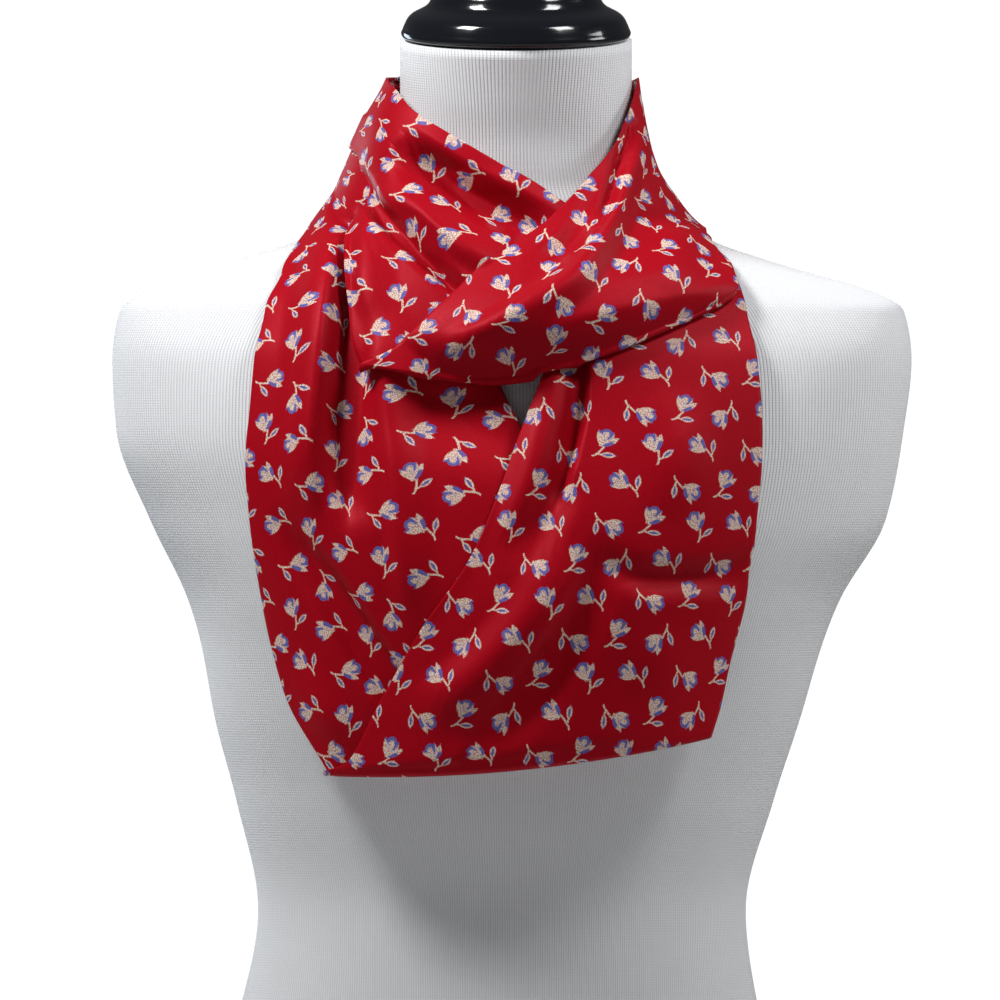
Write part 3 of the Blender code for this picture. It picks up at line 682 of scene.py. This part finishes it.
def fold_lift(folds, x, z):
    """The height that the folds add at places seen from the front."""
    total = np.zeros_like(x)
    for fold in folds:
        stations = np.arange(len(fold.places))
        along = np.linspace(0, stations[-1], 12 * stations[-1] + 1)
        line_x = smooth_between(stations, [p[0] for p in fold.places], along)
        line_z = smooth_between(stations, [p[1] for p in fold.places], along)
        height = smooth_between(stations, fold.heights, along)
        away_x, away_z = x[..., None] - line_x, z[..., None] - line_z
        nearest = np.argmin(away_x ** 2 + away_z ** 2, -1)
        dx, dz = (np.take_along_axis(away, nearest[..., None], -1)[..., 0] for away in (away_x, away_z))
        side = np.gradient(line_x)[nearest] * dz - np.gradient(line_z)[nearest] * dx
        side = side / (np.hypot(np.gradient(line_x), np.gradient(line_z))[nearest] + 1e-9)
        share_right = np.clip(side / 3 + 0.5, 0, 1)
        spread = fold.left_spread + (fold.right_spread - fold.left_spread) * share_right
        share = np.clip(np.hypot(dx, dz) / spread, 0, 1)
        soft = (1 + np.cos(math.pi * share)) / 2
        total += height[nearest] * (soft + fold.crease * ((1 - share) ** 2 - soft))
    return total


def running_sum(values):
    """The sum along each row up to each point, with neighbours averaged."""
    return np.concatenate([np.zeros_like(values[:, :1]),
                           np.cumsum((values[:, 1:] + values[:, :-1]) / 2, 1)], 1)


def pleated(v, steepness, rows):
    """Where the pleats carry each point across the band, from 0 to 1, and how far out, in band widths."""
    wander = v + 0.012 * np.sin(2 * math.pi * (1.7 * v + 0.11 * rows)) * np.sin(math.pi * v)
    uneven = (1 + 0.13 * np.sin(2 * math.pi * (2.3 * v + 0.07 * rows))
              + 0.07 * np.sin(2 * math.pi * 5.1 * v + rows))
    angle = steepness * uneven * np.sin(2 * math.pi * PLEATS * wander)
    across, out = running_sum(np.cos(angle)), running_sum(np.sin(angle))
    whole = across[:, -1:]
    out = out - v * out[:, -1:]
    return across / whole, (out - out.min(axis=1, keepdims=True)) / whole


def length_of_band(sections):
    """Turn, height and lift of every point of one of the band's two lengths, before it lies on another."""
    u = np.linspace(0, len(sections) - 1, PER_SECTION * (len(sections) - 1) + 1)
    columns = read_table(sections, np.arange(len(sections)), u)
    line = {name: column[:, None] for name, column in columns.items()}
    v = np.linspace(0, 1, ACROSS + 1)[None, :]
    width = np.linalg.norm(drape_point(line["a_turn"], line["a_height"], line["a_lift"])
                           - drape_point(line["b_turn"], line["b_height"], line["b_lift"]), axis=-1)
    from_nape = abs(np.degrees((line["a_turn"] + line["b_turn"]) / 2) - 180)
    share = np.clip((PLEAT_NONE - from_nape) / (PLEAT_NONE - PLEAT_FULL), 0, 1)
    steepness = math.radians(PLEAT_STEEP) * share * share * (3 - 2 * share)
    w, out = pleated(v + 0 * u[:, None], steepness, u[:, None])
    arc = 4 * w * (1 - w)
    turn = line["a_turn"] + (line["b_turn"] - line["a_turn"]) * w
    height = line["a_height"] + (line["b_height"] - line["a_height"]) * w - line["sag"] * arc
    lift = line["a_lift"] + (line["b_lift"] - line["a_lift"]) * w + line["bow"] * arc + width * out
    return u, turn, height, lift


def spread_over(grid, cells, how):
    """The grid with each cell taken together with its neighbours, by the largest or by the mean."""
    for axis in (0, 1):
        copies = [np.roll(grid, shift, axis) for shift in range(-cells, cells + 1)]
        grid = how(copies, axis=0)
    return grid


def laid_over(turn, height, lift, below):
    """The lift of cloth that rests on the cloth below it wherever the two cross."""
    # Cells without cloth start below all of it. The cloth in the rest is widened, then softened.
    grid = np.full((GRID_TURNS, GRID_HIGH - GRID_LOW), -2.0)
    for low_turn, low_height, low_lift in below:
        i = np.round(low_turn / FULL_TURN * GRID_TURNS).astype(int) % GRID_TURNS
        j = np.clip(np.round(low_height - GRID_LOW).astype(int), 0, grid.shape[1] - 1)
        np.maximum.at(grid, (i, j), low_lift)
    grid = spread_over(spread_over(grid, 4, np.max), 2, np.mean)
    i, j = turn / FULL_TURN * GRID_TURNS, np.clip(height - GRID_LOW, 0, grid.shape[1] - 1.001)
    i0, j0 = np.floor(i).astype(int), np.floor(j).astype(int)
    s, t = i - i0, j - j0
    i0, i1 = i0 % GRID_TURNS, (i0 + 1) % GRID_TURNS
    under = ((grid[i0, j0] * (1 - t) + grid[i0, j0 + 1] * t) * (1 - s)
             + (grid[i1, j0] * (1 - t) + grid[i1, j0 + 1] * t) * s)
    least = under + TUBE + LAYER_AIR
    return (lift + least + np.sqrt((lift - least) ** 2 + LAYER_SOFT)) / 2


def turned_fold(turn, height, low_lift, high_lift):
    """The rows that carry the band half way round its bottom fold."""
    place, out, down = drape_frame(turn, height)
    radius = ((high_lift - low_lift) / 2)[:, None]
    return [place + radius * np.sin(angle) * down + (low_lift[:, None] + radius * (1 - np.cos(angle))) * out
            for angle in np.linspace(0, math.pi, TURNED_ROWS + 2)[1:-1]]


def with_folds(u, turn, height, lift, low, high, folds):
    """The lift with the folds of the stretch that runs between two stations, in front of the shoulders."""
    flat = drape_point(turn, height, lift)
    raised = fold_lift(folds, flat[..., 0], flat[..., 2])
    fade = np.clip(np.minimum(u - low, high - u) / FOLD_FADE, 0, 1)[:, None]
    fade = fade * fade * (3 - 2 * fade)
    in_front = flat[..., 1] < 0
    return np.maximum(lift + fade * in_front * raised, 0)


def band_points():
    """The middle of the whole closed band, row by row, and the rows at which its four parts start."""
    lower_left, upper_left = placed(LOWER_LEFT, FULL_TURN), placed(UPPER_LEFT, FULL_TURN)
    first = [after_fold(lower_left[-1], LOWER_TURN),
             *placed(LOWER_RIGHT), *placed_nape(NAPE_HIGH), *upper_left]
    second = [after_fold(upper_left[-1], UPPER_TURN),
              *placed(UPPER_RIGHT), *placed_nape(NAPE_LOW), *lower_left]
    u1, turn1, height1, lift1 = length_of_band(first)
    u2, turn2, height2, lift2 = length_of_band(second)
    ridge, end = len(LOWER_RIGHT), len(first) - 1
    lift1 = np.where((u1 <= ridge)[:, None],
                     with_folds(u1, turn1, height1, lift1, 0, ridge, LOWER_RIGHT_FOLDS),
                     with_folds(u1, turn1, height1, lift1, ridge, end, UPPER_LEFT_FOLDS))
    lift2 = np.where((u2 <= ridge)[:, None],
                     with_folds(u2, turn2, height2, lift2, 0, ridge, UPPER_RIGHT_FOLDS),
                     with_folds(u2, turn2, height2, lift2, ridge, end, LOWER_LEFT_FOLDS))
    # From here each part is laid over those that were put on before it, the lowest one first.
    back1, back2 = (int(np.argmin(abs(turn[:, 0] - math.pi))) for turn in (turn1, turn2))
    left_low = turn2[back2:], height2[back2:], lift2[back2:]
    lift1[:back1] = laid_over(turn1[:back1], height1[:back1], lift1[:back1], [left_low])
    right_low = turn1[:back1], height1[:back1], lift1[:back1]
    lift1[back1:] = laid_over(turn1[back1:], height1[back1:], lift1[back1:], [left_low, right_low])
    left_high = turn1[back1:], height1[back1:], lift1[back1:]
    lift2[:back2] = laid_over(turn2[:back2], height2[:back2], lift2[:back2], [left_low, right_low, left_high])
    rows = turned_fold(turn2[-1], height2[-1], lift2[-1], lift1[0])
    rows += list(drape_point(turn1, height1, lift1))
    rows += turned_fold(turn1[-1], height1[-1], lift1[-1], lift2[0])
    rows += list(drape_point(turn2, height2, lift2))
    starts = [0, TURNED_ROWS + back1, TURNED_ROWS + len(u1), 2 * TURNED_ROWS + len(u1) + back2]
    return np.array(rows), starts


def cell_measures(points, pick_i, pick_j):
    """The size and slant of each cell of a coarse net over the points, as the square root of its metric."""
    along, across = np.diff(points, axis=0), np.diff(points, axis=1)
    long_way = np.linalg.norm(along, axis=-1)
    wide_way = np.linalg.norm(across, axis=-1)
    slant = (along[:, :-1] * across[:-1]).sum(-1)
    slant = slant / (long_way[:, :-1] * wide_way[:-1] + 1e-9)
    root = np.zeros((len(pick_i) - 1, len(pick_j) - 1, 2, 2))
    for i, j in np.ndindex(root.shape[:2]):
        ii, jj = slice(pick_i[i], pick_i[i + 1]), slice(pick_j[j], pick_j[j + 1])
        p = long_way[ii, jj].sum(axis=0).mean()
        q = wide_way[ii, jj].sum(axis=1).mean()
        c = slant[ii, jj].mean() * p * q
        value, vector = np.linalg.eigh(np.array([[p * p, c], [c, q * q]]))
        root[i, j] = vector @ np.diag(np.sqrt(np.maximum(value, 1e-6))) @ vector.T
    return root


def wanted_sides(cells, axis):
    """The step that each side of the net should make, the mean of what the cells beside it ask for."""
    cells = np.moveaxis(cells, axis, 0)
    sides = np.zeros((len(cells) + 1, *cells.shape[1:]))
    sides[:-1] += cells
    sides[1:] += cells
    sides[1:-1] /= 2
    return np.moveaxis(sides, 0, axis).reshape(-1, 2)


def flat_net(root):
    """The corners of the net laid flat: in each round every cell is turned, then all are joined again."""
    n, m = root.shape[0] + 1, root.shape[1] + 1
    number = np.arange(n * m).reshape(n, m)
    high = np.concatenate([number[1:, :].ravel(), number[:, 1:].ravel()])
    low = np.concatenate([number[:-1, :].ravel(), number[:, :-1].ravel()])
    lattice = np.zeros((n * m, n * m))
    for at, change in (((high, high), 1), ((low, low), 1), ((high, low), -1), ((low, high), -1)):
        np.add.at(lattice, at, change)
    lattice[0, 0] += 1
    solve = np.linalg.inv(lattice)
    flat = np.stack(np.meshgrid(np.arange(n) * 12.0, np.arange(m) * 6.0, indexing="ij"), -1)
    for _ in range(NET_ROUNDS):
        along_u = (np.diff(flat, axis=0)[:, 1:] + np.diff(flat, axis=0)[:, :-1]) / 2
        along_v = (np.diff(flat, axis=1)[1:] + np.diff(flat, axis=1)[:-1]) / 2
        left, _, right = np.linalg.svd(np.stack([along_u, along_v], -1) @ np.linalg.inv(root))
        turned = left @ right @ root
        want = np.concatenate([wanted_sides(turned[..., 0], 1), wanted_sides(turned[..., 1], 0)])
        moves = np.zeros((n * m, 2))
        np.add.at(moves, high, want)
        np.add.at(moves, low, -want)
        flat = (solve @ moves).reshape(n, m, 2)
    return flat


def unrolled(points):
    """The place of each point when this part of the band is unrolled flat, with hardly any stretch."""
    rows, columns = points.shape[:2]
    pick_i, pick_j = (np.unique(np.round(np.linspace(0, count - 1, count // NET_STEP)).astype(int))
                      for count in (rows, columns))
    flat = flat_net(cell_measures(points, pick_i, pick_j))
    every_i, every_j = np.arange(rows), np.arange(columns)
    wide = np.stack([[np.interp(every_j, pick_j, flat[i, :, k]) for i in range(len(pick_i))]
                     for k in (0, 1)], -1)
    return np.stack([np.stack([np.interp(every_i, pick_i, wide[:, j, k]) for j in range(columns)], -1)
                     for k in (0, 1)], -1)


# How the print lies on each of the band's four parts: its turn in degrees, its size, its place in
# millimetres, and whether the tube's other side is seen there.
Print = namedtuple("Print", "degrees size across up other_side")
PRINTS = [
    Print(-7.8, 1.0, 35.0, 15.0, True),
    Print(179.0, 0.95, 50.4, 19.2, True),
    Print(-176.0, 0.98, 78.4, 34.4, False),
    Print(-19.2, 1.0, 53.8, 19.8, False),
]


def print_places(points, starts):
    """The print's coordinates at each row and column of the four parts, shared by both layers of the tube."""
    ends = starts[1:] + [len(points) + 1]
    closed = np.concatenate([points, points[:1]])
    places = []
    for k, (start, end) in enumerate(zip(starts, ends)):
        last = min(end + 1, len(closed))
        u, v = np.moveaxis(unrolled(closed[start:last]), -1, 0)
        side = 1 if PRINTS[k].other_side else -1
        flat = np.stack([v, side * u], -1)
        flat -= flat.mean(axis=(0, 1))
        angle = math.radians(PRINTS[k].degrees)
        turn = np.array([[math.cos(angle), -math.sin(angle)], [math.sin(angle), math.cos(angle)]])
        places.append(flat @ turn.T * PRINTS[k].size + [PRINTS[k].across, PRINTS[k].up])
    return places


def band_mesh(points, starts, look):
    """Gives the closed band its two layers and closes both long edges with a narrow rim."""
    ahead, behind = np.roll(points, -1, axis=0), np.roll(points, 1, axis=0)
    across = np.gradient(points, axis=1)
    half = unit(np.cross(ahead - behind, across)) * (TUBE / 2)
    unit_across = unit(across)
    rows, columns = points.shape[:2]
    angles = np.linspace(0, math.pi, RIM_STEPS + 2)[1:-1]
    left_rim = np.stack([points[:, 0] + half[:, 0] * math.cos(a) - unit_across[:, 0] * TUBE / 2 * math.sin(a)
                         for a in angles], 1)
    # A known fault: the right rim's points run in the wrong order, so its strips cross.
    right_rim = np.stack([points[:, -1] - half[:, -1] * math.cos(a)
                          + unit_across[:, -1] * TUBE / 2 * math.sin(a) for a in angles], 1)
    loops = np.concatenate([points + half, right_rim, (points - half)[:, ::-1], left_rim[:, ::-1]], 1)
    around = loops.shape[1]
    number = np.arange(rows * around).reshape(rows, around)
    places = print_places(points, starts)
    part = np.searchsorted(starts, np.arange(rows), side="right") - 1
    column = np.concatenate([np.arange(columns), np.full(RIM_STEPS, columns - 1),
                             np.arange(columns)[::-1], np.zeros(RIM_STEPS, int)])
    faces, uv = [], []
    for i in range(rows):
        following = (i + 1) % rows
        place, start = places[part[i]], starts[part[i]]
        low, high = place[i - start], place[i - start + 1]
        for s in range(around):
            t = (s + 1) % around
            faces.append((number[i, s], number[i, t], number[following, t], number[following, s]))
            uv += [low[column[s]], low[column[t]], high[column[t]], high[column[s]]]
    return piece("infinity_scarf", loops.reshape(-1, 3), faces, look, "print", uv)


# The print's flower, in millimetres.
FLOWER_PITCH = 23.8        # between flowers along a row
FLOWER_ROW = 19.2          # between rows
FLOWER_SHIFT = 9.9         # how far each row lies to the left of the one below it
SATIN_RED = (0.43, 0.003, 0.011, 1)
SATIN_DEEP = (0.31, 0.001, 0.007, 1)
SATIN_GLANCE = (1.0, 0.10, 0.16, 1)
PRINT_CREAM = (0.78, 0.69, 0.57, 1)
PRINT_BLUE = (0.02, 0.10, 0.42, 1)

# The five ways that the flower lies: its turn in degrees and the shift of its middle.
Lie = namedtuple("Lie", "degrees across up")
LIES = [Lie(-45, -0.6, 0.4), Lie(0, 0.1, -0.8), Lie(40, -0.6, 0.9), Lie(-137, 1.1, -0.7)]
MIRRORED_LIE = Lie(150, -1.6, -0.5)


# The pointed parts of the flower and its one oval: the middle of each, its turn in degrees, and half its
# width and length. Those of the head are placed from the head's middle, the others from the flower's.
Petal = namedtuple("Petal", "across up degrees width length")
HEAD_ACROSS, HEAD_UP = -2.5, 3.75
HEAD_OVAL = Petal(-0.9, 1.3, 0, 2.7, 3.4)
HEAD_MIDDLE = Petal(0.8, 0.0, -4, 2.3, 5.1)
HEAD_LEFT = Petal(-1.5, -1.6, 50, 1.7, 4.6)
HEAD_RIGHT = Petal(2.8, -0.2, -19, 1.7, 5.0)
LEAF = Petal(4.1, -1.95, -50, 1.45, 3.7)
VEIN = Petal(4.0, -2.05, -50, 0.6, 2.5)
TWIG = Petal(0.7, -4.5, -75, 0.5, 1.5)


def turned_by(x, y, degrees):
    """x and y seen from axes turned by the angle."""
    c, s = math.cos(math.radians(degrees)), math.sin(math.radians(degrees))
    return x * c + y * s, y * c - x * s


def pointed(x, y, part):
    """Below 0 inside a pointed petal or leaf."""
    x, y = turned_by(x - part.across, y - part.up, part.degrees)
    return abs(x) / part.width + (y / part.length) * (y / part.length) - 1


def rounded(x, y, part):
    """Below 0 inside an upright oval."""
    x, y = (x - part.across) / part.width, (y - part.up) / part.length
    return x * x + y * y - 1


def flower_places(px, py):
    """The place within its own flower of each place on the band, with the flower turned to its lie."""
    row = (py / FLOWER_ROW).maths("ROUND")
    along = px + row * FLOWER_SHIFT
    column = (along / FLOWER_PITCH).maths("ROUND")
    x, y = along - column * FLOWER_PITCH, py - row * FLOWER_ROW
    kind = (column + row * 2).maths("FLOORED_MODULO", 4.0)
    odd_row = row.maths("FLOORED_MODULO", 2.0)
    is_kind = [kind.maths("COMPARE", float(k), 0.5) for k in range(4)]
    mirrored = is_kind[1] * odd_row
    is_kind[1] = is_kind[1] * (1 - odd_row)
    cosine = mirrored * math.cos(math.radians(MIRRORED_LIE.degrees))
    sine = mirrored * math.sin(math.radians(MIRRORED_LIE.degrees))
    dx, dy = mirrored * MIRRORED_LIE.across, mirrored * MIRRORED_LIE.up
    for share, lie in zip(is_kind, LIES):
        cosine = cosine + share * math.cos(math.radians(lie.degrees))
        sine = sine + share * math.sin(math.radians(lie.degrees))
        dx, dy = dx + share * lie.across, dy + share * lie.up
    x, y = x - dx, y - dy
    x, y = x * cosine + y * sine, y * cosine - x * sine
    return x * (1 - 2 * mirrored), y


def flower_print(start):
    """Shares of cream, of blue and of the red that shows between their threads, over the flat band."""
    place = start.node("ShaderNodeUVMap", {"uv_map": "print"}, {})
    px, py, _ = place.parts()
    x, y = flower_places(px, py)
    grain = place.noise(2.2, 1.0) - 0.5
    ragged = grain * 0.6
    hx, hy = x - HEAD_ACROSS, y - HEAD_UP
    oval = rounded(hx, hy, HEAD_OVAL)
    left, right = pointed(hx, hy, HEAD_LEFT), pointed(hx, hy, HEAD_RIGHT)
    head = oval.lower(pointed(hx, hy, HEAD_MIDDLE)).lower(left).lower(right) + ragged
    leaf = pointed(x, y, LEAF) + ragged
    bend = (-4.3 - y).higher(0.0)
    stem = (abs(x + bend * bend * 0.1) - 0.48).higher(abs(y + 3.75) - 3.85) + grain * 0.3
    cream = head.lower(leaf).lower(stem).lower(pointed(x, y, TWIG)).inside(0.12)
    crown = (-0.70 - oval - ragged).inside(0.12) * (0.4 - hy).inside(0.4) * (hx - 1.6).inside(0.4)
    beside, _ = turned_by(hx - HEAD_RIGHT.across, hy - HEAD_RIGHT.up, HEAD_RIGHT.degrees)
    flank = (-0.2 - beside + ragged).inside(0.2) * (hy - 0.8).inside(0.5) * (-3.7 - hy).inside(0.2)
    patches = (grain * 8 + 0.6).higher(0.0).lower(1.0)
    cleft = (abs(right.lower(left)) - 0.10).inside(0.06) * (-1.5 - hy).inside(0.5) * patches
    vein = (pointed(x, y, VEIN) + ragged).inside(0.2)
    thread = (px * 7.0 + py * 2.0 + grain * 6).maths("SINE")
    blue = crown.higher(flank).higher(cleft * 0.8).higher(vein)
    blue = blue * (1.02 + 0.25 * thread)
    worn = (place.noise(1.7, 0.0) - 0.47).inside(0.06)
    return cream, blue.higher(0.0).lower(1.0), worn


def printed_satin():
    """Red satin with a small cream and blue flower printed on it."""
    made, shader, start = finish_of("printed red satin",
                                    {"Specular IOR Level": 0.3, "Specular Tint": SATIN_GLANCE})
    cream, blue, worn = flower_print(start)
    place = start.node("ShaderNodeTexCoord", {}, {}, 3)
    shade = place.noise(900.0, 1.0) * 0.7 + place.noise(20.0) * 0.3
    red = start.node("ShaderNodeRGB", {}, {})
    red.socket.default_value = SATIN_RED
    ground = red.blend(shade, SATIN_DEEP)
    ink = start.node("ShaderNodeMix", {"data_type": "RGBA"}, {0: blue, 6: PRINT_CREAM, 7: PRINT_BLUE}, 2)
    ink = ink.blend(worn * (0.72 - 0.44 * blue), ground)
    into(shader, "Base Color", ground.blend(cream, ink))
    into(shader, "Roughness", 0.43 + 0.12 * place.noise(500.0) + 0.12 * cream)
    weave = place.noise(1400.0, 1.0) + place.noise(70.0) * 1.5
    into(shader, "Normal", start.node("ShaderNodeBump", {}, {"Strength": 0.12, "Distance": 0.0006,
                                                             "Height": weave}))
    return made


band, cut_rows = band_points()
scarf = band_mesh(band, cut_rows, printed_satin())
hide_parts("lower_left_stretch", "lower_right_stretch", "upper_left_stretch", "upper_right_stretch",
            "nape_band_high", "nape_band_low")
